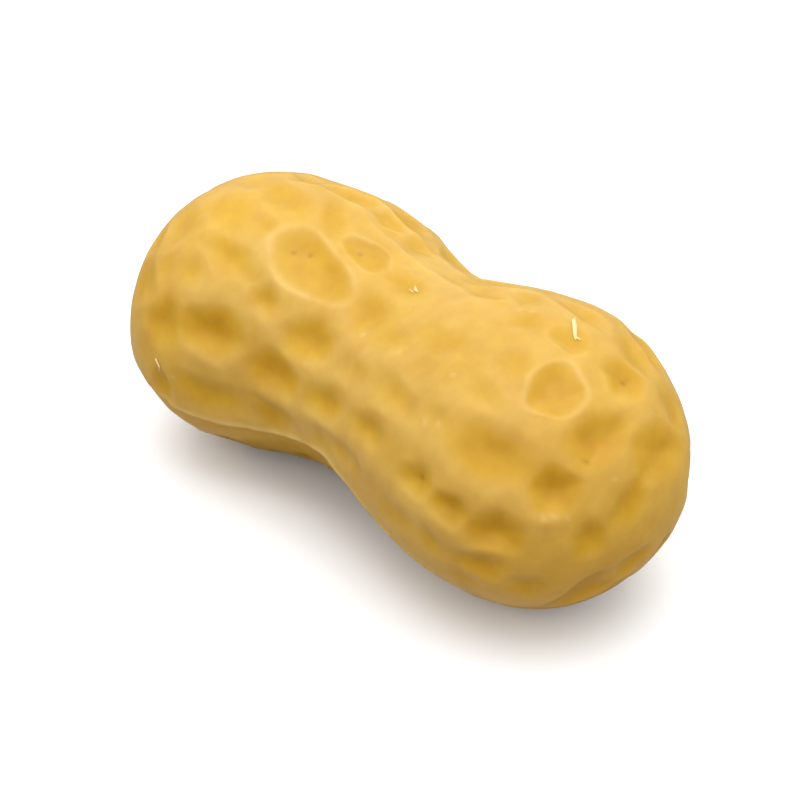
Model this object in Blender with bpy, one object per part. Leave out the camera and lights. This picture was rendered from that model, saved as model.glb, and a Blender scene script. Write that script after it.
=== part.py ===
"""A peanut: one two-seeded pod lying on its side, waisted in the middle, with a smooth
dimpled skin and a low seam that runs round it from end to end.

Metres, +Z up. The origin is on the ground under the middle of the pod, +X points along
its length to the fuller lobe, and -Y is the side where the seam shows. The pod rests on
a small flat under each lobe.
"""

import math
import random

import bmesh
import bpy
import numpy as np

MM = 0.001

# ---- Driving dimensions, in millimetres and degrees ------------------------------------
HALF_LENGTH = 22.5
LOBE_RADIUS = (10.65, 10.65)      # -X lobe, +X lobe
SHOULDER = (12.5, 11.0)          # each end starts to close in this far from the middle
BLUNTNESS = (2.2, 2.0)           # 2 is an elliptical end, more is blunter
WAIST_DEPTH = 2.0
WAIST_WIDTH = 7.0
# Sideways bends of the middle line: where along X, how wide, how far toward +Y.
BENDS = ((-6.0, 6.0, 1.8), (18.5, 4.0, -0.5))
AXIS_HEIGHT = 10.0
SQUASH = 0.97            # height of a cross-section over its width
SEAM_LIP = 0.24          # the skin swells this much as it comes down to the seam
SEAM_STEP = 0.16         # and starts again this far inside the plain pod below it
SEAM_REACH = 2.0         # how far from the seam both die away
DIMPLE_BLEND = 3.0       # how sharply neighbouring dimples meet, higher keeps the ridge
DIMPLE_EDGE = 1.35       # a dimple fades out at this many half sizes
RIM_PLACE = 1.18         # a rim's crest, in half sizes from the dimple's middle
RIM_WIDTH = 0.16         # and its width, in the same measure

CELLS_AROUND = 19        # per quarter turn
CELLS_ALONG = 54
CAP_SHARE = 0.135        # part of the length, measured over the skin, on each end cap

# Dimples: place along X, angle round the pod (0 top, 90 toward -Y, 180 under), half
# length along the pod, half width round it, depth, turn of the long side toward +angle,
# the flat share of the floor, and the height of the raised rim.
DIMPLES = (
    # -X lobe, upper front
    (-6.0, 29, 4.0, 2.0, 0.65, 8, 0.2, 0.10), (-7.0, 26, 2.2, 1.3, 0.45, 0, 0.0, 0.0),
    (-3.3, 8, 2.2, 1.2, 0.40, 0, 0.4, 0.08), (-7.3, 50, 1.3, 1.1, 0.45, 10, 0.1, 0.0),
    (-3.0, 57, 2.8, 1.6, 0.90, -20, 0.0, 0.0), (-10.0, 70, 2.8, 1.8, 1.00, 12, 0.0, 0.0),
    (-5.0, 79, 3.0, 1.8, 0.90, 0, 0.0, 0.0), (-13.8, 71, 1.8, 1.8, 0.75, -15, 0.1, 0.0),
    (-13.8, 100, 0.8, 1.8, 0.50, 0, 0.1, 0.0), (-10.0, 98, 3.2, 1.7, 0.55, 0, 0.0, 0.0),
    (-5.0, 100, 2.2, 1.6, 0.60, 0, 0.0, 0.0), (-11.3, 38, 2.5, 1.2, 0.55, 22, 0.1, 0.0),
    (-13.5, 19, 2.6, 1.6, 0.40, 20, 0.2, 0.04), (-10.8, 20, 1.3, 1.0, 0.35, 0, 0.1, 0.0),
    (-16.4, 31, 1.8, 2.0, 0.55, 0, 0.1, 0.0), (-18.6, 40, 0.9, 1.3, 0.35, 0, 0.2, 0.04),
    (-17.2, 60, 1.9, 1.5, 0.45, -10, 0.2, 0.0), (-15.2, 50, 1.3, 1.3, 0.30, 0, 0.2, 0.0),
    (-13.2, 48, 1.6, 1.1, 0.30, 10, 0.1, 0.0),
    # -X lobe, top and back
    (-11.5, 3, 2.8, 1.6, 0.50, 28, 0.1, 0.03), (-14.8, -2, 1.4, 1.2, 0.35, 30, 0.2, 0.0),
    (-7.4, 4, 1.8, 1.0, 0.45, 55, 0.1, 0.0), (-12.6, -17, 1.3, 1.0, 0.30, 0, 0.2, 0.03),
    (-8.8, -17, 2.0, 1.0, 0.45, 0, 0.3, 0.05), (-5.4, -17, 1.4, 1.0, 0.40, 0, 0.2, 0.03),
    (-4.6, -9.5, 1.7, 0.7, 0.22, -5, 0.2, 0.0), (-9.4, -31, 1.3, 1.1, 0.30, 0, 0.2, 0.03),
    (-5.0, -30, 1.5, 1.2, 0.45, 0, 0.3, 0.03), (-2.2, -21, 1.1, 1.5, 0.35, -15, 0.2, 0.0),
    # waist
    (0.2, 29, 2.2, 1.5, 0.55, 0, 0.1, 0.0), (1.0, 7, 2.8, 1.0, 0.45, 12, 0.1, 0.0),
    (3.0, 33, 2.6, 1.0, 0.35, 0, 0.2, 0.0), (7.5, 26, 3.0, 0.9, 0.28, 0, 0.2, 0.0),
    (7.8, 39, 2.8, 0.7, 0.16, 0, 0.2, 0.0), (6.2, 53, 2.8, 0.9, 0.28, 3, 0.2, 0.0),
    (2.0, 54, 1.6, 1.0, 0.25, 0, 0.1, 0.0), (0.0, 76, 2.8, 1.6, 0.85, -25, 0.0, 0.0),
    (5.2, 71, 2.2, 1.1, 0.42, -5, 0.1, 0.0), (2.4, 90, 2.3, 1.1, 0.38, -5, 0.1, 0.0),
    (0.0, 97, 1.9, 1.4, 0.35, -15, 0.1, 0.0), (4.4, 91, 1.0, 1.2, 0.25, 0, 0.1, 0.0),
    (6.5, -5, 2.6, 1.0, 0.38, 18, 0.2, 0.0), (3.0, -11, 2.3, 0.6, 0.18, 18, 0.2, 0.0),
    (4.4, -20, 2.2, 1.0, 0.28, 12, 0.2, 0.0),
    # +X lobe
    (9.3, -10, 1.2, 0.9, 0.38, 30, 0.1, 0.0), (11.3, 4, 1.5, 1.2, 0.45, 10, 0.1, 0.0),
    (12.9, -18, 1.6, 1.0, 0.35, 0, 0.2, 0.0), (14.3, -1, 1.5, 1.3, 0.45, 0, 0.3, 0.05),
    (12.8, 22, 1.5, 1.2, 0.38, 0, 0.2, 0.0), (12.6, 38, 1.9, 0.8, 0.18, 0, 0.1, 0.0),
    (16.2, 20.5, 1.9, 2.0, 0.62, 20, 0.45, 0.14), (19.6, 24, 1.5, 2.5, 0.80, 15, 0.0, 0.04),
    (18.1, -10, 1.7, 1.5, 0.80, 15, 0.0, 0.0), (18.9, 58, 1.5, 1.7, 0.95, 20, 0.1, 0.0),
    (16.4, 84, 2.2, 1.5, 0.90, -15, 0.0, 0.0), (13.3, 81, 1.8, 1.4, 0.80, 10, 0.1, 0.0),
    (10.4, 77, 1.8, 1.4, 0.65, 0, 0.1, 0.0), (14.8, 56, 3.1, 1.4, 0.62, -14, 0.1, 0.0),
    (10.3, 51.5, 1.4, 0.6, 0.18, 5, 0.1, 0.0), (15.6, 101, 2.1, 1.6, 0.65, -3, 0.0, 0.0),
    (12.0, 98, 1.2, 1.4, 0.35, 0, 0.1, 0.0), (21.4, -10, 1.9, 1.9, 0.60, 5, 0.0, 0.0),
    (21.8, 47, 1.1, 2.0, 0.50, 10, 0.1, 0.0), (20.9, 83, 1.4, 1.4, 0.55, -20, 0.0, 0.0),
    (18.1, 112, 1.3, 1.3, 0.45, 0, 0.1, 0.0), (14.3, 113, 1.2, 1.0, 0.25, 0, 0.1, 0.0),
    (16.8, -27, 1.7, 1.3, 0.38, 0, 0.2, 0.0), (19.8, -40, 1.5, 1.3, 0.30, 0, 0.2, 0.0),
    (9.0, 97, 1.7, 1.1, 0.25, -5, 0.1, 0.0),
)

# The rows of dimples on the far side and the underside: angle, first X, step along X.
FAR_ROWS = ((-44, -17.0, 4.2), (-60, -15.0, 4.0), (-80, -17.5, 4.3), (-98, -15.6, 4.0),
            (-116, -17.0, 4.4), (-134, -15.5, 4.1), (-152, -17.0, 4.2), (180, -16.5, 4.0),
            (152, -15.0, 4.3), (134, -16.4, 4.5))
# Rings of them on the end caps: X, the angle where the named dimples start, step round.
FAR_RINGS = ((-21.6, 15, 4.4), (-19.7, 15, 3.8), (20.1, -50, 3.8), (21.6, -50, 4.4))
NAMED_TO = 128              # and the angle where the named ones end
FAR_HALF_LENGTH = (1.5, 2.4)
FAR_HALF_WIDTH = (1.0, 1.5)
FAR_DEPTH = (0.35, 0.75)
FAR_CLEAR = 2.6          # no far dimple starts nearer than this to another one's middle
FLAT_CLEAR = 3.9         # nor nearer than this to the middle of a flat

# Raised ribs between the rows: (x, angle) points, height and width.
RIBS = (
    (((-14.5, -17), (-12, -12.5), (-8, -11.5), (-5, -6.5), (-3, -7), (1.5, -9), (4, -4.5),
      (6, -1), (8, -2.5)), 0.12, 0.40),
    (((-10.5, -27), (-8, -25), (-5, -23.5), (-2, -25.5), (0.5, -24.5), (4, -19),
      (6, -15), (9, -17), (13, -13)), 0.12, 0.40),
    (((-9.5, 31), (-8.5, 37), (-7, 40.5), (-5, 42), (0, 42), (3, 42.5), (6, 43), (12, 45),
      (16, 43)), 0.18, 0.75),
    (((-12, 54), (-9.8, 51.5), (-6, 60), (-3, 66), (0, 63), (4, 59), (9, 61), (13.7, 68),
      (16.5, 67), (19, 71)), 0.12, 0.85),
    (((-11, 80), (-8, 79), (-4, 88), (0, 85), (6.5, 82), (12, 88), (16, 92)), 0.16, 0.90),
)

# The seam on the -Y side, and on the far side.
SEAM = ((-22.5, 92), (-19, 98), (-16, 104), (-13, 110.5), (-10, 112.6), (-7, 111.5),
        (-4.5, 110), (-3, 107.6), (0, 105.5), (3, 109), (6, 114), (9, 119), (12, 125),
        (15, 130), (18, 132), (22.5, 124))
FAR_SEAM = ((-22.5, -92), (-16, -74), (-10, -68), (-3, -70), (3, -69), (10, -66),
            (16, -73), (22.5, -92))

SKIN_COLOUR = (0.72, 0.44, 0.10, 1.0)
SKIN_ROUGHNESS = 0.38


# ---- The plain pod, before its relief --------------------------------------------------
def smooth(s):
    s = np.clip(s, 0.0, 1.0)
    return s * s * (3.0 - 2.0 * s)


def radius(t):
    """Two lobes with rounded ends and a waist between them, t = 0 at -X and pi at +X."""
    x = -HALF_LENGTH * np.cos(t)
    low = np.clip((-x - SHOULDER[0]) / (HALF_LENGTH - SHOULDER[0]), 0.0, 1.0)
    high = np.clip((x - SHOULDER[1]) / (HALF_LENGTH - SHOULDER[1]), 0.0, 1.0)
    closing = np.sqrt((1.0 - low ** BLUNTNESS[0]) * (1.0 - high ** BLUNTNESS[1]))
    lobe = LOBE_RADIUS[0] + (LOBE_RADIUS[1] - LOBE_RADIUS[0]) * smooth(0.5 + x / 20.0)
    return closing * (lobe - WAIST_DEPTH * np.exp(-(x / WAIST_WIDTH) ** 2))


def middle_y(t):
    x = -HALF_LENGTH * np.cos(t)
    return sum(far * np.exp(-((x - where) / wide) ** 2) for where, wide, far in BENDS)


def skin_point(t, angle):
    """Points on the plain pod, t and angle in radians."""
    r = radius(t)
    x = -HALF_LENGTH * np.cos(t)
    y = middle_y(t) - r * np.sin(angle)
    z = AXIS_HEIGHT + SQUASH * r * np.cos(angle)
    return np.stack([x, y, z], -1)


def unit(v):
    return v / np.maximum(np.linalg.norm(v, axis=-1, keepdims=True), 1e-12)


def skin_frame(t, angle):
    """Along, around and outward directions on the plain pod."""
    t = np.clip(t, 0.02, math.pi - 0.02)
    h = 1e-4
    along = unit(skin_point(t + h, angle) - skin_point(t - h, angle))
    around = unit(skin_point(t, angle + h) - skin_point(t, angle - h))
    outward = unit(np.cross(around, along))
    return along, unit(np.cross(along, outward)), outward


def station(x):
    return math.acos(max(-1.0, min(1.0, -x / HALF_LENGTH)))


def place(x, degrees):
    return skin_point(np.array(station(x)), np.array(math.radians(degrees)))


# ---- The relief ------------------------------------------------------------------------
def dimple(points, x, degrees, half_length, half_width, depth, turn, floor, rim):
    """How deep the dimple is at each point, and how high its rim stands."""
    t, angle = np.array(station(x)), np.array(math.radians(degrees))
    middle = skin_point(t, angle)
    along, around, outward = skin_frame(t, angle)
    c, s = math.cos(math.radians(turn)), math.sin(math.radians(turn))
    offset = points - middle
    long_way = offset @ (c * along + s * around) / half_length
    cross_way = offset @ (-s * along + c * around) / half_width
    out_way = offset @ outward / (half_length + half_width)
    distance = np.sqrt(long_way ** 2 + cross_way ** 2 + out_way ** 2)
    bowl = depth * smooth((DIMPLE_EDGE - distance) / (DIMPLE_EDGE - floor))
    edge = rim * np.exp(-((distance - RIM_PLACE) / RIM_WIDTH) ** 2)
    return bowl, edge


def distance_to_line(points, line):
    """Distance to a line on the skin given by (x, angle) points."""
    rail = np.stack([place(x, a) for x, a in line])
    best = np.full(len(points), 1e9)
    for a, b in zip(rail[:-1], rail[1:]):
        ab = b - a
        s = np.clip((points - a) @ ab / (ab @ ab), 0.0, 1.0)
        best = np.minimum(best, np.linalg.norm(points - a - s[:, None] * ab, axis=1))
    return best


def far_dimples():
    """Seeded rows of dimples where the named ones leave the skin bare."""
    dice = random.Random(11)
    taken = [place(d[0], d[1]) for d in DIMPLES]
    flats = [np.array([x, middle_y(np.array(station(x))), 0.0]) for x in (-12.1, 11.3)]
    made = []

    def add(x, degrees):
        small = 0.7 if abs(x) > 21 else 1.0
        here = (x + dice.uniform(-0.5, 0.5) * small, degrees + dice.uniform(-5, 5),
                dice.uniform(*FAR_HALF_LENGTH) * small, dice.uniform(*FAR_HALF_WIDTH) * small,
                dice.uniform(*FAR_DEPTH) * small, dice.uniform(-18, 18), 0.15, 0.03)
        point = place(here[0], here[1])
        near = [np.linalg.norm(point - p) < FAR_CLEAR for p in taken]
        near += [np.linalg.norm(point - p) < FLAT_CLEAR for p in flats]
        if not any(near):
            taken.append(point)
            made.append(here)

    for degrees, x, step in FAR_ROWS:
        while x < 18.5:
            add(x, degrees)
            x += step * dice.uniform(0.9, 1.1)
    for x, named_from, step in FAR_RINGS:
        around = 2.0 * math.pi * radius(np.array(station(x)))
        degrees = NAMED_TO + 8.0
        while degrees < 360 + named_from:
            add(x, degrees)
            degrees += 360.0 * step / around
    return made


def seam_angle(x, line):
    return np.interp(x, [p[0] for p in line], [p[1] for p in line])


def relief(points, t, angle):
    """How far the skin moves out from the plain pod, millimetres."""
    total, rims = np.zeros(len(points)), np.zeros(len(points))
    for row in tuple(DIMPLES) + tuple(far_dimples()):
        bowl, edge = dimple(points, *row)
        total += bowl ** DIMPLE_BLEND
        rims = np.maximum(rims, edge)
    out = rims - total ** (1.0 / DIMPLE_BLEND)
    for line, height, width in RIBS:
        out += height * np.exp(-(distance_to_line(points, line) / width) ** 2)
    x = points[:, 0]
    degrees = np.degrees(angle)
    per_degree = radius(t) * math.pi / 180.0
    far = np.where(degrees > 180.0, degrees - 360.0, degrees)
    for below in ((degrees - seam_angle(x, SEAM)) * per_degree,
                  (seam_angle(x, FAR_SEAM) - far) * per_degree):
        under = smooth(0.5 + below / 0.8)
        out += smooth(radius(t) / 5.0) * np.exp(-np.abs(below) / SEAM_REACH) * (
            SEAM_LIP * (1.0 - under) - SEAM_STEP * under)
    return out


# ---- The mesh --------------------------------------------------------------------------
def station_table():
    """Skin length from the -X end against t, so that cells come out even."""
    t = np.linspace(0.0, math.pi, 2001)
    p = skin_point(t, np.full_like(t, 0.5 * math.pi)) - np.stack(
        [0 * t, middle_y(t), 0 * t], -1)
    s = np.concatenate([[0.0], np.cumsum(np.linalg.norm(np.diff(p, axis=0), axis=1))])
    return t, s / s[-1]


def block():
    """A box cut into cells: CELLS_ALONG down its length, CELLS_AROUND up each side."""
    bm = bmesh.new()
    bmesh.ops.create_cube(bm, size=2.0)
    lengthways = [e for e in bm.edges
                  if abs(e.verts[0].co.x - e.verts[1].co.x) > 1.0]
    bmesh.ops.subdivide_edges(bm, edges=lengthways, cuts=CELLS_ALONG - 1,
                              use_grid_fill=True)
    crossways = [e for e in bm.edges
                 if abs(e.verts[0].co.x - e.verts[1].co.x) < 1e-6]
    bmesh.ops.subdivide_edges(bm, edges=crossways, cuts=CELLS_AROUND - 1,
                              use_grid_fill=True)
    return bm


def wrap(bm):
    """Every point of the box goes to its own t and angle on the pod."""
    box = np.array([v.co[:] for v in bm.verts])
    even = np.tan(box * math.pi / 4.0)
    polar = np.arccos(np.clip(-even[:, 0] / np.linalg.norm(even, axis=1), -1.0, 1.0))
    angle = np.mod(np.arctan2(-even[:, 1], even[:, 2]), 2.0 * math.pi)
    share = np.interp(np.degrees(polar), (0.0, 45.0, 135.0, 180.0),
                      (0.0, CAP_SHARE, 1.0 - CAP_SHARE, 1.0))
    t_table, share_table = station_table()
    return np.interp(share, share_table, t_table), angle


def make_pod():
    bm = block()
    t, angle = wrap(bm)
    plain = skin_point(t, angle)
    outward = skin_frame(t, angle)[2]
    ends = np.abs(plain[:, 0]) > HALF_LENGTH - 1e-6
    outward[ends] = np.stack([np.sign(plain[ends, 0]), 0 * plain[ends, 0],
                              0 * plain[ends, 0]], -1)
    # Angles run 0..360 from the top; the upper far side reads as negative.
    signed = np.where(angle > math.radians(300), angle - 2 * math.pi, angle)
    skin = plain + outward * relief(plain, t, signed)[:, None]
    for vert, co in zip(bm.verts, skin):
        vert.co = co
    bm.normal_update()

    # The two small flats that it rests on.
    cut = bmesh.ops.bisect_plane(bm, geom=bm.verts[:] + bm.edges[:] + bm.faces[:],
                                 dist=0.02, plane_co=(0, 0, 0), plane_no=(0, 0, 1),
                                 clear_inner=True)
    rim = [e for e in cut["geom_cut"] if isinstance(e, bmesh.types.BMEdge)]
    bmesh.ops.holes_fill(bm, edges=[e for e in rim if e.is_boundary], sides=0)
    for vert in bm.verts:
        if vert.co.z < 0.03:
            vert.co.z = 0.0
    for face in bm.faces:
        face.smooth = any(vert.co.z > 0.0 for vert in face.verts)

    # The origin goes under the middle of the pod.
    cloud = np.array([v.co[:] for v in bm.verts])
    middle = (cloud.min(0) + cloud.max(0)) / 2.0
    for vert in bm.verts:
        vert.co.x = (vert.co.x - middle[0]) * MM
        vert.co.y = (vert.co.y - middle[1]) * MM
        vert.co.z = vert.co.z * MM
    bmesh.ops.recalc_face_normals(bm, faces=bm.faces[:])
    print("middle of the box before centring, mm:", [round(float(m), 3) for m in middle])
    mesh = bpy.data.meshes.new("peanut")
    bm.to_mesh(mesh)
    bm.free()
    return mesh


def skin_material():
    material = bpy.data.materials.new("peanut_skin")
    material.use_nodes = True
    shader = material.node_tree.nodes["Principled BSDF"]
    shader.inputs["Base Color"].default_value = SKIN_COLOUR
    shader.inputs["Roughness"].default_value = SKIN_ROUGHNESS
    shader.inputs["Metallic"].default_value = 0.0
    material.diffuse_color = SKIN_COLOUR
    return material


def main():
    for old in list(bpy.data.objects):
        bpy.data.objects.remove(old, do_unlink=True)
    group = bpy.data.collections.new("peanut_part")
    bpy.context.scene.collection.children.link(group)
    mesh = make_pod()
    mesh.materials.append(skin_material())
    pod = bpy.data.objects.new("peanut", mesh)
    group.objects.link(pod)


main()
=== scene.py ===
import math
import random

import bmesh
import bpy
import numpy as np
from mathutils import Matrix, Vector


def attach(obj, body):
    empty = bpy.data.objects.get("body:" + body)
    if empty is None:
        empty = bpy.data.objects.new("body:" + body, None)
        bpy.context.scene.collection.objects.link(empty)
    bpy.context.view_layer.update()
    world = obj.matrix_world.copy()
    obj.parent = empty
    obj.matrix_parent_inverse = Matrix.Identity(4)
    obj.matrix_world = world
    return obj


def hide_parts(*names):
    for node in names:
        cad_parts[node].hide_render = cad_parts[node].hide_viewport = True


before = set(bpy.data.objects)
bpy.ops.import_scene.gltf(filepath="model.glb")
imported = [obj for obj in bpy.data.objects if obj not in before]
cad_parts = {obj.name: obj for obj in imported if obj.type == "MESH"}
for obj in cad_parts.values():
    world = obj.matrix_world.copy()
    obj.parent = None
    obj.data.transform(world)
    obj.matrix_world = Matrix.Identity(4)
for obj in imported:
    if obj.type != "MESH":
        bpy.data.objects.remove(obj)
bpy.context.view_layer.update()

MM = 0.001
random.seed(5)

MM = 0.001
random.seed(5)

# ---- The pod's plain form: the same sizes as the CAD, in millimetres and degrees ---------
HALF_LENGTH = 22.5
LOBE_RADIUS = (10.65, 10.65)      # -X lobe, +X lobe
SHOULDER = (12.5, 11.0)          # each end starts to close in this far from the middle
BLUNTNESS = (2.2, 2.0)           # 2 is an elliptical end, more is blunter
WAIST_DEPTH = 2.0
WAIST_WIDTH = 7.0
BENDS = ((-6.0, 6.0, 1.8), (18.5, 4.0, -0.5))
AXIS_HEIGHT = 10.0
SQUASH = 0.97
CENTRE_Y = 0.516         # the CAD's origin is this far along Y from the pod's middle line

CELLS_AROUND = 88        # per quarter turn
CELLS_ALONG = 224
CAP_SHARE = 0.135

DIMPLE_BLEND = 2.3       # how sharply neighbouring dimples meet
DIMPLE_EDGE = 1.5        # a dimple fades out at this many half sizes
SEAM_LIP = 0.24
SEAM_STEP = 0.16
SEAM_REACH = 2.0

# Dimples: x, angle round the pod, half length, half width, depth, turn, flat share, rim.
DIMPLES = (
    # -X lobe, upper front
    (-5.9, 29, 3.2, 1.8, 0.56, 8, 0.2, 0.08), (-7.0, 25, 1.9, 1.1, 0.35, 0, 0.0, 0.0),
    (-3.4, 8, 1.9, 1.0, 0.38, 0, 0.5, 0.07), (-7.3, 50, 1.1, 1.0, 0.42, 10, 0.0, 0.0),
    (-3.1, 56, 2.1, 1.4, 0.68, -20, 0.0, 0.0), (-10.1, 69, 2.2, 1.5, 0.92, 12, 0.0, 0.0),
    (-5.1, 78, 2.2, 1.3, 0.78, 0, 0.0, 0.0), (-13.8, 71, 1.6, 1.5, 0.54, -15, 0.0, 0.0),
    (-13.8, 100, 0.7, 1.5, 0.50, 0, 0.1, 0.0), (-10.0, 97, 2.8, 1.4, 0.50, 0, 0.0, 0.0),
    (-5.1, 99, 1.7, 1.3, 0.50, 0, 0.0, 0.0), (-11.2, 38, 2.3, 1.1, 0.36, 22, 0.0, 0.0),
    (-13.5, 19, 2.4, 1.6, 0.32, 20, 0.1, 0.0), (-10.8, 20, 1.2, 1.0, 0.28, 0, 0.0, 0.0),
    (-16.4, 31, 1.7, 1.9, 0.45, 0, 0.0, 0.0), (-18.6, 40, 0.9, 1.2, 0.30, 0, 0.2, 0.02),
    (-17.2, 60, 1.7, 1.4, 0.38, -10, 0.1, 0.0), (-15.2, 50, 1.2, 1.2, 0.22, 0, 0.1, 0.0),
    (-13.2, 48, 1.5, 1.0, 0.22, 10, 0.0, 0.0),
    # -X lobe, top and back
    (-11.5, 3, 2.5, 1.4, 0.42, 28, 0.0, 0.0), (-14.8, -2, 1.3, 1.2, 0.30, 30, 0.1, 0.0),
    (-7.4, 4, 1.7, 0.9, 0.40, 55, 0.0, 0.0), (-12.6, -17, 1.3, 1.0, 0.30, 0, 0.2, 0.03),
    (-8.8, -17, 2.0, 1.0, 0.45, 0, 0.3, 0.05), (-5.4, -17, 1.4, 1.0, 0.40, 0, 0.2, 0.03),
    (-4.6, -9.5, 1.7, 0.7, 0.22, -5, 0.2, 0.0), (-9.4, -31, 1.3, 1.1, 0.30, 0, 0.2, 0.03),
    (-5.0, -30, 1.5, 1.2, 0.45, 0, 0.3, 0.03), (-2.2, -21, 1.1, 1.5, 0.35, -15, 0.2, 0.0),
    # waist
    (0.2, 29, 2.0, 1.4, 0.48, 0, 0.0, 0.0), (1.0, 7, 2.4, 0.9, 0.40, 12, 0.0, 0.0),
    (3.0, 33, 2.4, 1.1, 0.26, 0, 0.0, 0.0), (7.5, 26, 2.8, 1.0, 0.22, 0, 0.0, 0.0),
    (7.8, 39, 2.6, 0.8, 0.10, 0, 0.0, 0.0), (6.2, 53, 2.6, 1.0, 0.24, 3, 0.0, 0.0),
    (2.0, 54, 1.5, 1.0, 0.18, 0, 0.0, 0.0), (0.0, 75, 1.9, 1.2, 0.50, -25, 0.0, 0.0),
    (5.2, 70, 1.8, 1.0, 0.40, -5, 0.0, 0.0), (2.4, 90, 2.0, 1.0, 0.32, -5, 0.0, 0.0),
    (0.0, 97, 1.7, 1.2, 0.30, -15, 0.0, 0.0), (4.4, 91, 0.9, 1.1, 0.20, 0, 0.0, 0.0),
    (6.5, -5, 2.4, 0.9, 0.34, 18, 0.0, 0.0), (3.0, -11, 2.0, 0.6, 0.16, 18, 0.0, 0.0),
    (4.4, -20, 2.2, 1.0, 0.28, 12, 0.2, 0.0),
    # +X lobe
    (9.3, -10, 1.1, 0.8, 0.34, 30, 0.0, 0.0), (11.3, 3.5, 1.3, 1.0, 0.38, 10, 0.0, 0.0),
    (12.9, -18, 1.6, 1.0, 0.35, 0, 0.2, 0.0), (14.3, -1, 1.3, 1.1, 0.42, 0, 0.2, 0.03),
    (12.8, 22, 1.3, 1.1, 0.34, 0, 0.0, 0.0), (12.6, 38, 1.8, 0.8, 0.12, 0, 0.0, 0.0),
    (16.1, 20, 1.5, 1.8, 0.62, 15, 0.25, 0.08), (19.4, 24, 1.4, 2.0, 0.74, 15, 0.0, 0.0),
    (18.0, -9.5, 1.4, 1.3, 0.72, 15, 0.0, 0.0), (18.9, 57, 1.3, 1.5, 0.90, 20, 0.0, 0.0),
    (16.5, 83, 1.9, 1.2, 0.85, -12, 0.0, 0.0), (13.3, 80, 1.3, 1.0, 0.74, 8, 0.0, 0.0),
    (10.4, 76, 1.3, 1.0, 0.60, 0, 0.0, 0.0), (14.8, 54, 2.7, 1.7, 0.54, -12, 0.0, 0.0),
    (10.3, 51.5, 1.3, 0.7, 0.12, 5, 0.0, 0.0), (15.7, 100, 1.7, 1.2, 0.55, -3, 0.0, 0.0),
    (12.0, 98, 1.0, 1.1, 0.28, 0, 0.0, 0.0), (21.4, -9, 1.7, 2.1, 0.60, 5, 0.0, 0.0),
    (21.8, 46, 1.0, 1.7, 0.42, 10, 0.0, 0.0), (20.9, 82, 1.2, 1.2, 0.48, -20, 0.0, 0.0),
    (18.1, 112, 1.2, 1.1, 0.38, 0, 0.0, 0.0), (14.3, 113, 1.1, 1.0, 0.20, 0, 0.0, 0.0),
    (16.8, -27, 1.7, 1.3, 0.38, 0, 0.2, 0.0), (19.8, -40, 1.5, 1.3, 0.30, 0, 0.2, 0.0),
    (9.0, 97, 1.7, 1.1, 0.25, -5, 0.1, 0.0),
)
FAR_ROWS = ((-44, -17.0, 4.2), (-60, -15.0, 4.0), (-80, -17.5, 4.3), (-98, -15.6, 4.0),
            (-116, -17.0, 4.4), (-134, -15.5, 4.1), (-152, -17.0, 4.2), (180, -16.5, 4.0),
            (152, -15.0, 4.3), (134, -16.4, 4.5))
FAR_RINGS = ((-21.6, 15, 4.4), (-19.7, 15, 3.8), (20.1, -50, 3.8), (21.6, -50, 4.4))
NAMED_TO = 128
FAR_HALF_LENGTH = (1.5, 2.4)
FAR_HALF_WIDTH = (1.0, 1.5)
FAR_DEPTH = (0.35, 0.75)
FAR_CLEAR = 2.6
FLAT_CLEAR = 3.9
# Raised lines between the rows: (x, angle) points, height and width.
RIBS = (
    (((-14.5, -17), (-12, -12.5), (-8, -11.5), (-5, -6.5), (-3, -7), (1.5, -9), (4, -4.5),
      (6, -1), (8, -2.5)), 0.12, 0.40),
    (((-10.5, -27), (-8, -25), (-5, -23.5), (-2, -25.5), (0.5, -24.5), (4, -19),
      (6, -15), (9, -17), (13, -13)), 0.12, 0.40),
    (((-9.5, 31), (-8.5, 37), (-7, 40.5), (-5, 42), (0, 42), (3, 42.5), (6, 43), (12, 45),
      (16, 43)), 0.09, 1.10),
    (((-12, 54), (-9.8, 51.5), (-6, 60), (-3, 66), (0, 63), (4, 59), (9, 61), (13.7, 68),
      (16.5, 67), (19, 71)), 0.12, 1.10),
    (((-11, 80), (-8, 79), (-4, 88), (0, 85), (6.5, 82), (12, 88), (16, 92)), 0.14, 1.10),
)
SEAM = ((-22.5, 92), (-19, 98), (-16, 104), (-13, 110.5), (-10, 112.6), (-7, 111.5),
        (-4.5, 110), (-3, 107.6), (0, 105.5), (3, 109), (6, 114), (9, 119), (12, 125),
        (15, 130), (18, 132), (22.5, 124))
FAR_SEAM = ((-22.5, -92), (-16, -74), (-10, -68), (-3, -70), (3, -69), (10, -66),
            (16, -73), (22.5, -92))


# ---- Plain form ------------------------------------------------------------------------
def smooth(s):
    s = np.clip(s, 0.0, 1.0)
    return s * s * (3.0 - 2.0 * s)


def radius(t):
    x = -HALF_LENGTH * np.cos(t)
    low = np.clip((-x - SHOULDER[0]) / (HALF_LENGTH - SHOULDER[0]), 0.0, 1.0)
    high = np.clip((x - SHOULDER[1]) / (HALF_LENGTH - SHOULDER[1]), 0.0, 1.0)
    closing = np.sqrt((1.0 - low ** BLUNTNESS[0]) * (1.0 - high ** BLUNTNESS[1]))
    lobe = LOBE_RADIUS[0] + (LOBE_RADIUS[1] - LOBE_RADIUS[0]) * smooth(0.5 + x / 20.0)
    return closing * (lobe - WAIST_DEPTH * np.exp(-(x / WAIST_WIDTH) ** 2))


def middle_y(t):
    x = -HALF_LENGTH * np.cos(t)
    return sum(far * np.exp(-((x - where) / wide) ** 2) for where, wide, far in BENDS)


def skin_point(t, angle):
    r = radius(t)
    x = -HALF_LENGTH * np.cos(t)
    y = middle_y(t) - r * np.sin(angle)
    z = AXIS_HEIGHT + SQUASH * r * np.cos(angle)
    return np.stack([x, y, z], -1)


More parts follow.
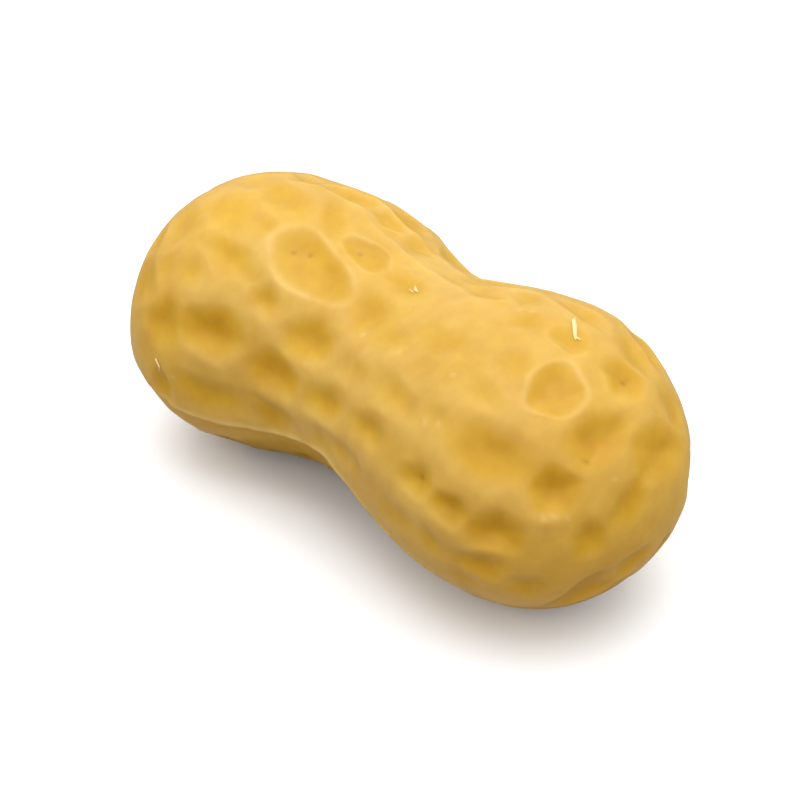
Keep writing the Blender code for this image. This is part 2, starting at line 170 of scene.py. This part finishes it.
def unit(v):
    return v / np.maximum(np.linalg.norm(v, axis=-1, keepdims=True), 1e-12)


def skin_frame(t, angle):
    t = np.clip(t, 0.02, math.pi - 0.02)
    h = 1e-4
    along = unit(skin_point(t + h, angle) - skin_point(t - h, angle))
    around = unit(skin_point(t, angle + h) - skin_point(t, angle - h))
    outward = unit(np.cross(around, along))
    return along, unit(np.cross(along, outward)), outward


def station(x):
    return math.acos(max(-1.0, min(1.0, -x / HALF_LENGTH)))


def place(x, degrees):
    return skin_point(np.array(station(x)), np.array(math.radians(degrees)))


# ---- Relief ----------------------------------------------------------------------------
def dimple(points, x, degrees, half_length, half_width, depth, turn, floor, rim):
    """How deep the dimple is at each point, and how high its rim stands."""
    t, angle = np.array(station(x)), np.array(math.radians(degrees))
    middle = skin_point(t, angle)
    along, around, outward = skin_frame(t, angle)
    c, s = math.cos(math.radians(turn)), math.sin(math.radians(turn))
    offset = points - middle
    long_way = offset @ (c * along + s * around) / half_length
    cross_way = offset @ (-s * along + c * around) / half_width
    out_way = offset @ outward / (half_length + half_width)
    distance = np.sqrt(long_way ** 2 + cross_way ** 2 + out_way ** 2)
    # No dimple is a true ellipse: its edge wanders in and out by a few percent.
    around_it = np.arctan2(cross_way, long_way)
    distance *= 1.0 + sum(share * np.cos(n * around_it + 7.3 * x + 1.7 * n + degrees)
                          for n, share in WANDER)
    bowl = depth * smooth((DIMPLE_EDGE - distance) / (DIMPLE_EDGE - floor))
    edge = rim * np.exp(-((distance - RIM_PLACE) / RIM_WIDTH) ** 2)
    return bowl, edge


def distance_to_line(points, line):
    rail = np.stack([place(x, a) for x, a in line])
    best = np.full(len(points), 1e9)
    for a, b in zip(rail[:-1], rail[1:]):
        ab = b - a
        s = np.clip((points - a) @ ab / (ab @ ab), 0.0, 1.0)
        best = np.minimum(best, np.linalg.norm(points - a - s[:, None] * ab, axis=1))
    return best


def far_dimples():
    dice = random.Random(11)
    taken = [place(d[0], d[1]) for d in DIMPLES]
    flats = [np.array([x, middle_y(np.array(station(x))), 0.0]) for x in (-12.1, 11.3)]
    made = []

    def add(x, degrees):
        small = 0.7 if abs(x) > 21 else 1.0
        here = (x + dice.uniform(-0.5, 0.5) * small, degrees + dice.uniform(-5, 5),
                dice.uniform(*FAR_HALF_LENGTH) * small, dice.uniform(*FAR_HALF_WIDTH) * small,
                dice.uniform(*FAR_DEPTH) * small, dice.uniform(-18, 18), 0.15, 0.03)
        point = place(here[0], here[1])
        near = [np.linalg.norm(point - p) < FAR_CLEAR for p in taken]
        near += [np.linalg.norm(point - p) < FLAT_CLEAR for p in flats]
        if not any(near):
            taken.append(point)
            made.append(here)

    for degrees, x, step in FAR_ROWS:
        while x < 18.5:
            add(x, degrees)
            x += step * dice.uniform(0.9, 1.1)
    for x, named_from, step in FAR_RINGS:
        around = 2.0 * math.pi * radius(np.array(station(x)))
        degrees = NAMED_TO + 8.0
        while degrees < 360 + named_from:
            add(x, degrees)
            degrees += 360.0 * step / around
    return made


def seam_angle(x, line):
    return np.interp(x, [p[0] for p in line], [p[1] for p in line])


WANDER = ((2, 0.06), (3, 0.07), (5, 0.04))
RIM_PLACE = 1.18         # a rim's crest, in half sizes from the dimple's middle
RIM_WIDTH = 0.14
WAVE_HEIGHT = 0.014
SOFTNESS = 0.81          # the wax has filled every dimple a little


# Small marks: pinholes, shallow pits darkened in colour as painted shade, and dots that are painted
# glints, each x and angle.
PINHOLES = ((10.6, 75), (18.1, -11), (19.6, 36.6), (-7.6, 26.5), (-6.6, 24), (-4, 9.5))
GLINT_DOTS = ((10.75, 53.5), (9.8, 55.5), (9.9, 36), (4.8, 37), (1, 38), (20.9, 36), (18.85, 70), (19.2, 68.5),
        (19.9, 68), (10, -1), (10.7, -3), (-12.7, 93))
MARK_RADIUS = 0.17


def marks(points, places):
    shade = np.zeros(len(points))
    for x, degrees in places:
        away = np.linalg.norm(points - place(x, degrees), axis=1)
        shade = np.maximum(shade, np.exp(-(away / MARK_RADIUS) ** 2))
    return shade


def waviness(points):
    """A faint unevenness, made of many small ripples that cross at random."""
    dice = random.Random(3)
    total = np.zeros(len(points))
    for _ in range(40):
        way = np.array([dice.gauss(0, 1) for _ in range(3)])
        way *= 2.0 * math.pi / (np.linalg.norm(way) * dice.uniform(1.2, 3.2))
        total += np.sin(points @ way + dice.uniform(0, 2.0 * math.pi))
    return total / math.sqrt(20.0)


def relief(points, t, angle):
    total, rims = np.zeros(len(points)), np.zeros(len(points))
    for row in tuple(DIMPLES) + tuple(far_dimples()):
        bowl, edge = dimple(points, *row)
        total += bowl ** DIMPLE_BLEND
        rims = np.maximum(rims, edge)
    out = rims - SOFTNESS * total ** (1.0 / DIMPLE_BLEND)
    for line, height, width in RIBS:
        out += height * np.exp(-(distance_to_line(points, line) / width) ** 2)
    wave = waviness(points)
    out += WAVE_HEIGHT * wave - 0.04 * marks(points, PINHOLES)
    # Painted highlight: the raised rims are lightened in colour, on top of the wax's own milky bloom
    # there.
    bloom_highlight_shade = 0.38 * rims / 0.12 * smooth(0.65 + 0.5 * wave)
    x = points[:, 0]
    ends = smooth(radius(t) / 5.0) * (1.0 - smooth((x - 9.0) / 5.0))
    degrees = np.degrees(angle)
    per_degree = radius(t) * math.pi / 180.0
    far = np.where(degrees > 180.0, degrees - 360.0, degrees)
    for below in ((degrees - seam_angle(x, SEAM)) * per_degree,
                  (seam_angle(x, FAR_SEAM) - far) * per_degree):
        under = smooth(0.5 + below / 0.35)
        out += ends * np.exp(-np.abs(below) / SEAM_REACH) * (
            SEAM_LIP * (1.0 - under) - SEAM_STEP * under)
        flash = ends * smooth((x + 16.0) / 3.0) * np.exp(-((below + 0.15) / 0.24) ** 2)
        out += 0.10 * flash
        # Painted highlight along the seam's flash.
        bloom_highlight_shade = np.maximum(bloom_highlight_shade, 0.9 * flash * smooth(0.75 + 0.4 * wave))
    # The dots are painted glints, and the pinholes get painted shade.
    bloom_highlight_shade += 0.55 * marks(points, GLINT_DOTS) - 0.60 * marks(points, PINHOLES)
    return out, bloom_highlight_shade


# ---- Mesh ------------------------------------------------------------------------------
def station_table():
    t = np.linspace(0.0, math.pi, 2001)
    p = skin_point(t, np.full_like(t, 0.5 * math.pi)) - np.stack(
        [0 * t, middle_y(t), 0 * t], -1)
    s = np.concatenate([[0.0], np.cumsum(np.linalg.norm(np.diff(p, axis=0), axis=1))])
    return t, s / s[-1]


def block():
    bm = bmesh.new()
    bmesh.ops.create_cube(bm, size=2.0)
    lengthways = [e for e in bm.edges if abs(e.verts[0].co.x - e.verts[1].co.x) > 1.0]
    bmesh.ops.subdivide_edges(bm, edges=lengthways, cuts=CELLS_ALONG - 1,
                              use_grid_fill=True)
    crossways = [e for e in bm.edges if abs(e.verts[0].co.x - e.verts[1].co.x) < 1e-4]
    bmesh.ops.subdivide_edges(bm, edges=crossways, cuts=CELLS_AROUND - 1,
                              use_grid_fill=True)
    return bm


def wrap(box):
    even = np.tan(box * math.pi / 4.0)
    polar = np.arccos(np.clip(-even[:, 0] / np.linalg.norm(even, axis=1), -1.0, 1.0))
    angle = np.mod(np.arctan2(-even[:, 1], even[:, 2]), 2.0 * math.pi)
    share = np.interp(np.degrees(polar), (0.0, 45.0, 135.0, 180.0),
                      (0.0, CAP_SHARE, 1.0 - CAP_SHARE, 1.0))
    t_table, share_table = station_table()
    return np.interp(share, share_table, t_table), angle


def make_pod():
    bm = block()
    mesh = bpy.data.meshes.new("peanut_pod")
    bm.to_mesh(mesh)
    bm.free()
    count = len(mesh.vertices)
    box = np.empty(count * 3)
    mesh.vertices.foreach_get("co", box)
    t, angle = wrap(box.reshape(-1, 3))
    plain = skin_point(t, angle)
    outward = skin_frame(t, angle)[2]
    ends = np.abs(plain[:, 0]) > HALF_LENGTH - 1e-6
    outward[ends] = np.stack([np.sign(plain[ends, 0]), 0 * plain[ends, 0],
                              0 * plain[ends, 0]], -1)
    signed = np.where(angle > math.radians(300), angle - 2 * math.pi, angle)
    lift, bloom_highlight_shade = relief(plain, t, signed)
    skin = plain + outward * lift[:, None]
    skin[:, 2] = np.maximum(skin[:, 2], 0.0)
    skin[:, 1] -= CENTRE_Y
    mesh.vertices.foreach_set("co", (skin * MM).ravel())
    mesh.polygons.foreach_set("use_smooth", np.ones(len(mesh.polygons), bool))
    attribute = mesh.attributes.new("relief", "FLOAT", "POINT")
    attribute.data.foreach_set("value", lift.astype(np.float32))
    attribute = mesh.attributes.new("bloom_highlight_shade", "FLOAT", "POINT")
    attribute.data.foreach_set("value", bloom_highlight_shade.astype(np.float32))
    mesh.update()
    pod = bpy.data.objects.new("peanut_pod", mesh)
    bpy.context.scene.collection.objects.link(pod)
    return pod


# Loose flakes of skin: rows of (x, angle) along each, and how wide it is in millimetres.
FLAKES = (
    (((13.1, -10.5), (13.3, -8.8), (13.9, -6.0), (14.4, -3.6)), 0.30),
    (((14.1, -4.6), (14.6, -4.9)), 0.16),
    (((1.2, 3.5), (1.5, 5.0), (1.9, 5.8)), 0.20),
    (((1.0, 6.0), (1.6, 7.0)), 0.14),
    (((-14.1, 87.0), (-13.8, 90.0), (-13.9, 92.5)), 0.18),
)


def make_flakes(material):
    bm = bmesh.new()
    for line, width in FLAKES:
        rows = []
        steps = 12
        for i in range(steps + 1):
            share = i / steps
            where = share * (len(line) - 1)
            x = float(np.interp(where, range(len(line)), [p[0] for p in line]))
            degrees = float(np.interp(where, range(len(line)), [p[1] for p in line]))
            t, angle = np.array([station(x)]), np.array([math.radians(degrees)])
            point = skin_point(t, angle)
            outward = skin_frame(t, angle)[2][0]
            lift = float(relief(point, t, angle)[0][0])
            middle = point[0] + outward * (lift + 0.05)
            ahead = unit(place(line[-1][0], line[-1][1]) - place(line[0][0], line[0][1]))
            side = np.cross(outward, ahead)
            half = 0.5 * width * math.sin(math.pi * (0.08 + 0.84 * share)) ** 0.7
            ring = [middle + side * half, middle + outward * 0.07,
                    middle - side * half, middle - outward * 0.12]
            rows.append([bm.verts.new((p - np.array([0, CENTRE_Y, 0])) * MM) for p in ring])
        for a, b in zip(rows[:-1], rows[1:]):
            for k in range(4):
                n = (k + 1) % 4
                bm.faces.new((a[k], a[n], b[n], b[k]))
        bm.faces.new(list(reversed(rows[0])))
        bm.faces.new(rows[-1])
    bmesh.ops.recalc_face_normals(bm, faces=bm.faces)
    mesh = bpy.data.meshes.new("skin_flakes")
    bm.to_mesh(mesh)
    bm.free()
    mesh.materials.append(material)
    flakes = bpy.data.objects.new("skin_flakes", mesh)
    bpy.context.scene.collection.objects.link(flakes)
    return flakes


def flake_material():
    material = bpy.data.materials.new("flake_cream_highlight")
    material.use_nodes = True
    shader = material.node_tree.nodes["Principled BSDF"]
    # A cream lighter than the skin: partly the flakes' own colour, partly painted highlight for the
    # glint they catch.
    shader.inputs["Base Color"].default_value = (0.82, 0.62, 0.28, 1)
    shader.inputs["Roughness"].default_value = 0.4
    return material


# ---- Skin ------------------------------------------------------------------------------
def skin_material():
    material = bpy.data.materials.new("peanut_skin_waxy")
    material.use_nodes = True
    nodes, links = material.node_tree.nodes, material.node_tree.links
    shader = nodes["Principled BSDF"]
    coords = nodes.new("ShaderNodeTexCoord")

    # Painted shade and painted highlight: the base colour turns darker and redder down in the dimples
    # and lighter on the proud skin, following the relief's height.
    relief_in = nodes.new("ShaderNodeAttribute")
    relief_in.attribute_name = "relief"
    depth = nodes.new("ShaderNodeMapRange")
    depth.inputs["From Min"].default_value = -0.9
    depth.inputs["From Max"].default_value = 0.25
    links.new(relief_in.outputs["Fac"], depth.inputs["Value"])
    shade_highlight_ramp = nodes.new("ShaderNodeValToRGB")
    shade_highlight_ramp.color_ramp.elements[0].position = 0.0
    shade_highlight_ramp.color_ramp.elements[0].color = (0.515, 0.248, 0.003, 1)
    shade_highlight_ramp.color_ramp.elements[1].position = 1.0
    shade_highlight_ramp.color_ramp.elements[1].color = (0.602, 0.384, 0.093, 1)
    middle = shade_highlight_ramp.color_ramp.elements.new(0.6)
    middle.color = (0.566, 0.318, 0.020, 1)
    links.new(depth.outputs["Result"], shade_highlight_ramp.inputs["Fac"])

    cloud = nodes.new("ShaderNodeTexNoise")
    cloud.inputs["Scale"].default_value = 160.0
    cloud.inputs["Detail"].default_value = 3.0
    links.new(coords.outputs["Object"], cloud.inputs["Vector"])
    mottle = nodes.new("ShaderNodeMix")
    mottle.data_type = "RGBA"
    mottle.blend_type = "SOFT_LIGHT"
    mottle.inputs["Factor"].default_value = 0.25
    links.new(shade_highlight_ramp.outputs["Color"], mottle.inputs["A"])
    links.new(cloud.outputs["Fac"], mottle.inputs["B"])
    speckle = nodes.new("ShaderNodeTexNoise")
    speckle.inputs["Scale"].default_value = 620.0
    speckle.inputs["Detail"].default_value = 6.0
    speckle.inputs["Roughness"].default_value = 0.62
    links.new(coords.outputs["Object"], speckle.inputs["Vector"])
    speckled = nodes.new("ShaderNodeMix")
    speckled.data_type = "RGBA"
    speckled.blend_type = "SOFT_LIGHT"
    speckled.inputs["Factor"].default_value = 0.30
    links.new(mottle.outputs["Result"], speckled.inputs["A"])
    links.new(speckle.outputs["Fac"], speckled.inputs["B"])

    # Milky wax where the skin is proud, with painted highlight on top: rims, the seam's flash and small
    # dots of painted glint.
    bloom_highlight_shade_in = nodes.new("ShaderNodeAttribute")
    bloom_highlight_shade_in.attribute_name = "bloom_highlight_shade"
    bloom_highlight_amount = nodes.new("ShaderNodeMapRange")
    bloom_highlight_amount.inputs["To Max"].default_value = 0.55
    links.new(bloom_highlight_shade_in.outputs["Fac"], bloom_highlight_amount.inputs["Value"])
    bloom_and_highlight = nodes.new("ShaderNodeMix")
    bloom_and_highlight.data_type = "RGBA"
    bloom_and_highlight.inputs["B"].default_value = (0.79, 0.60, 0.28, 1)
    links.new(bloom_highlight_amount.outputs["Result"], bloom_and_highlight.inputs["Factor"])
    links.new(speckled.outputs["Result"], bloom_and_highlight.inputs["A"])
    # Painted shade: the pinholes are darkened in colour where the shade inside each hole would fall.
    pinhole_shade_amount = nodes.new("ShaderNodeMapRange")
    pinhole_shade_amount.inputs["From Max"].default_value = -1.0
    pinhole_shade_amount.inputs["To Max"].default_value = 0.7
    links.new(bloom_highlight_shade_in.outputs["Fac"], pinhole_shade_amount.inputs["Value"])
    pinhole_shade = nodes.new("ShaderNodeMix")
    pinhole_shade.data_type = "RGBA"
    pinhole_shade.inputs["B"].default_value = (0.16, 0.06, 0.01, 1)
    links.new(pinhole_shade_amount.outputs["Result"], pinhole_shade.inputs["Factor"])
    links.new(bloom_and_highlight.outputs["Result"], pinhole_shade.inputs["A"])
    links.new(pinhole_shade.outputs["Result"], shader.inputs["Base Color"])

    fine = nodes.new("ShaderNodeTexNoise")
    fine.inputs["Scale"].default_value = 900.0
    fine.inputs["Detail"].default_value = 4.0
    links.new(coords.outputs["Object"], fine.inputs["Vector"])
    gloss = nodes.new("ShaderNodeMapRange")
    gloss.inputs["To Min"].default_value = 0.26
    gloss.inputs["To Max"].default_value = 0.40
    links.new(cloud.outputs["Fac"], gloss.inputs["Value"])
    links.new(gloss.outputs["Result"], shader.inputs["Roughness"])
    bump = nodes.new("ShaderNodeBump")
    bump.inputs["Strength"].default_value = 0.12
    bump.inputs["Distance"].default_value = 0.00006
    links.new(fine.outputs["Fac"], bump.inputs["Height"])
    links.new(bump.outputs["Normal"], shader.inputs["Normal"])

    shader.inputs["Subsurface Weight"].default_value = 0.50
    shader.inputs["Subsurface Radius"].default_value = (1.0, 0.42, 0.10)
    shader.inputs["Subsurface Scale"].default_value = 0.0020
    shader.inputs["IOR"].default_value = 1.45
    shader.inputs["Specular IOR Level"].default_value = 0.32
    shader.inputs["Sheen Weight"].default_value = 0.03
    shader.inputs["Sheen Roughness"].default_value = 0.25
    return material


# ---- Stage -----------------------------------------------------------------------------
def floor():
    bm = bmesh.new()
    bmesh.ops.create_grid(bm, x_segments=1, y_segments=1, size=2.0)
    mesh = bpy.data.meshes.new("floor")
    bm.to_mesh(mesh)
    bm.free()
    plane = bpy.data.objects.new("floor", mesh)
    bpy.context.scene.collection.objects.link(plane)
    material = bpy.data.materials.new("floor_white")
    material.use_nodes = True
    shader = material.node_tree.nodes["Principled BSDF"]
    shader.inputs["Base Color"].default_value = (0.96, 0.965, 0.975, 1)
    shader.inputs["Roughness"].default_value = 0.8
    shader.inputs["Specular IOR Level"].default_value = 0.0
    mesh.materials.append(material)
    # The room's own light stands in for what the floor would throw back, so that the
    # underside stays as dark as under a small table-top softbox.
    plane.visible_diffuse = False
    plane.visible_glossy = False
    plane.visible_shadow = False
    # Right under the pod the floor is in its shadow, so a dark card keeps light off there.
    bm = bmesh.new()
    bmesh.ops.create_circle(bm, cap_ends=True, segments=48, radius=1.0)
    mesh = bpy.data.meshes.new("contact_shade")
    bm.to_mesh(mesh)
    bm.free()
    card = bpy.data.objects.new("contact_shade", mesh)
    card.scale = (0.021, 0.0085, 1.0)
    card.location = (0.0, 0.0, -0.0001)
    card.visible_camera = False
    bpy.context.scene.collection.objects.link(card)
    material = bpy.data.materials.new("contact_shade_grey")
    material.use_nodes = True
    shader = material.node_tree.nodes["Principled BSDF"]
    shader.inputs["Base Color"].default_value = (0.12, 0.11, 0.10, 1)
    shader.inputs["Roughness"].default_value = 1.0
    mesh.materials.append(material)


TENT_ABOVE = (1.26, 1.28, 1.29, 1)
TENT_BELOW = (0.50, 0.43, 0.34, 1)      # warm, as light off a table and the pod is


def lights():
    # A white light tent, dimmer below than above.
    world = bpy.data.worlds.new("studio")
    world.use_nodes = True
    nodes, links = world.node_tree.nodes, world.node_tree.links
    background = nodes["Background"]
    coords = nodes.new("ShaderNodeTexCoord")
    split = nodes.new("ShaderNodeSeparateXYZ")
    links.new(coords.outputs["Generated"], split.inputs["Vector"])
    tent = nodes.new("ShaderNodeMapRange")
    tent.interpolation_type = "SMOOTHSTEP"
    tent.inputs["From Min"].default_value = -0.1
    tent.inputs["From Max"].default_value = 0.4
    links.new(split.outputs["Z"], tent.inputs["Value"])
    cloth = nodes.new("ShaderNodeMix")
    cloth.data_type = "RGBA"
    cloth.inputs["A"].default_value = TENT_BELOW
    cloth.inputs["B"].default_value = TENT_ABOVE
    links.new(tent.outputs["Result"], cloth.inputs["Factor"])
    links.new(cloth.outputs["Result"], background.inputs["Color"])
    bpy.context.scene.world = world
    # One softbox overhead.
    data = bpy.data.lights.new("overhead_softbox", "SUN")
    data.energy = 1.32
    data.angle = math.radians(60)
    lamp = bpy.data.objects.new("overhead_softbox", data)
    lamp.rotation_euler = Vector((-0.06, 0.04, 0.99)).to_track_quat("Z", "Y").to_euler()
    lamp.location = (-0.05, 0.05, 0.5)
    bpy.context.scene.collection.objects.link(lamp)
    bpy.context.scene.view_settings.view_transform = "Standard"


def camera():
    data = bpy.data.cameras.new("camera")
    data.lens = 85.0
    data.sensor_width = 36.0
    data.clip_start = 0.005
    data.clip_end = 20.0
    view = bpy.data.objects.new("camera", data)
    bpy.context.scene.collection.objects.link(view)
    azimuth, elevation = math.radians(42.74), math.radians(35.0)
    back = Vector((math.sin(azimuth) * math.cos(elevation),
                   -math.cos(azimuth) * math.cos(elevation), math.sin(elevation)))
    right = Vector((math.cos(azimuth), math.sin(azimuth), 0.0))
    up = back.cross(right)
    target = Vector((0, -CENTRE_Y, 9.5)) + right * -0.17 + up * -0.92
    turn = Matrix((right, up, back)).transposed()
    view.matrix_world = Matrix.Translation((target + back * 131.66) * MM) @ turn.to_4x4()
    bpy.context.scene.camera = view


pod = make_pod()
pod.data.materials.append(skin_material())
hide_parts("peanut")
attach(pod, "root")
flakes = make_flakes(flake_material())
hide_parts("peanut")
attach(flakes, "root")
floor()
lights()
camera()
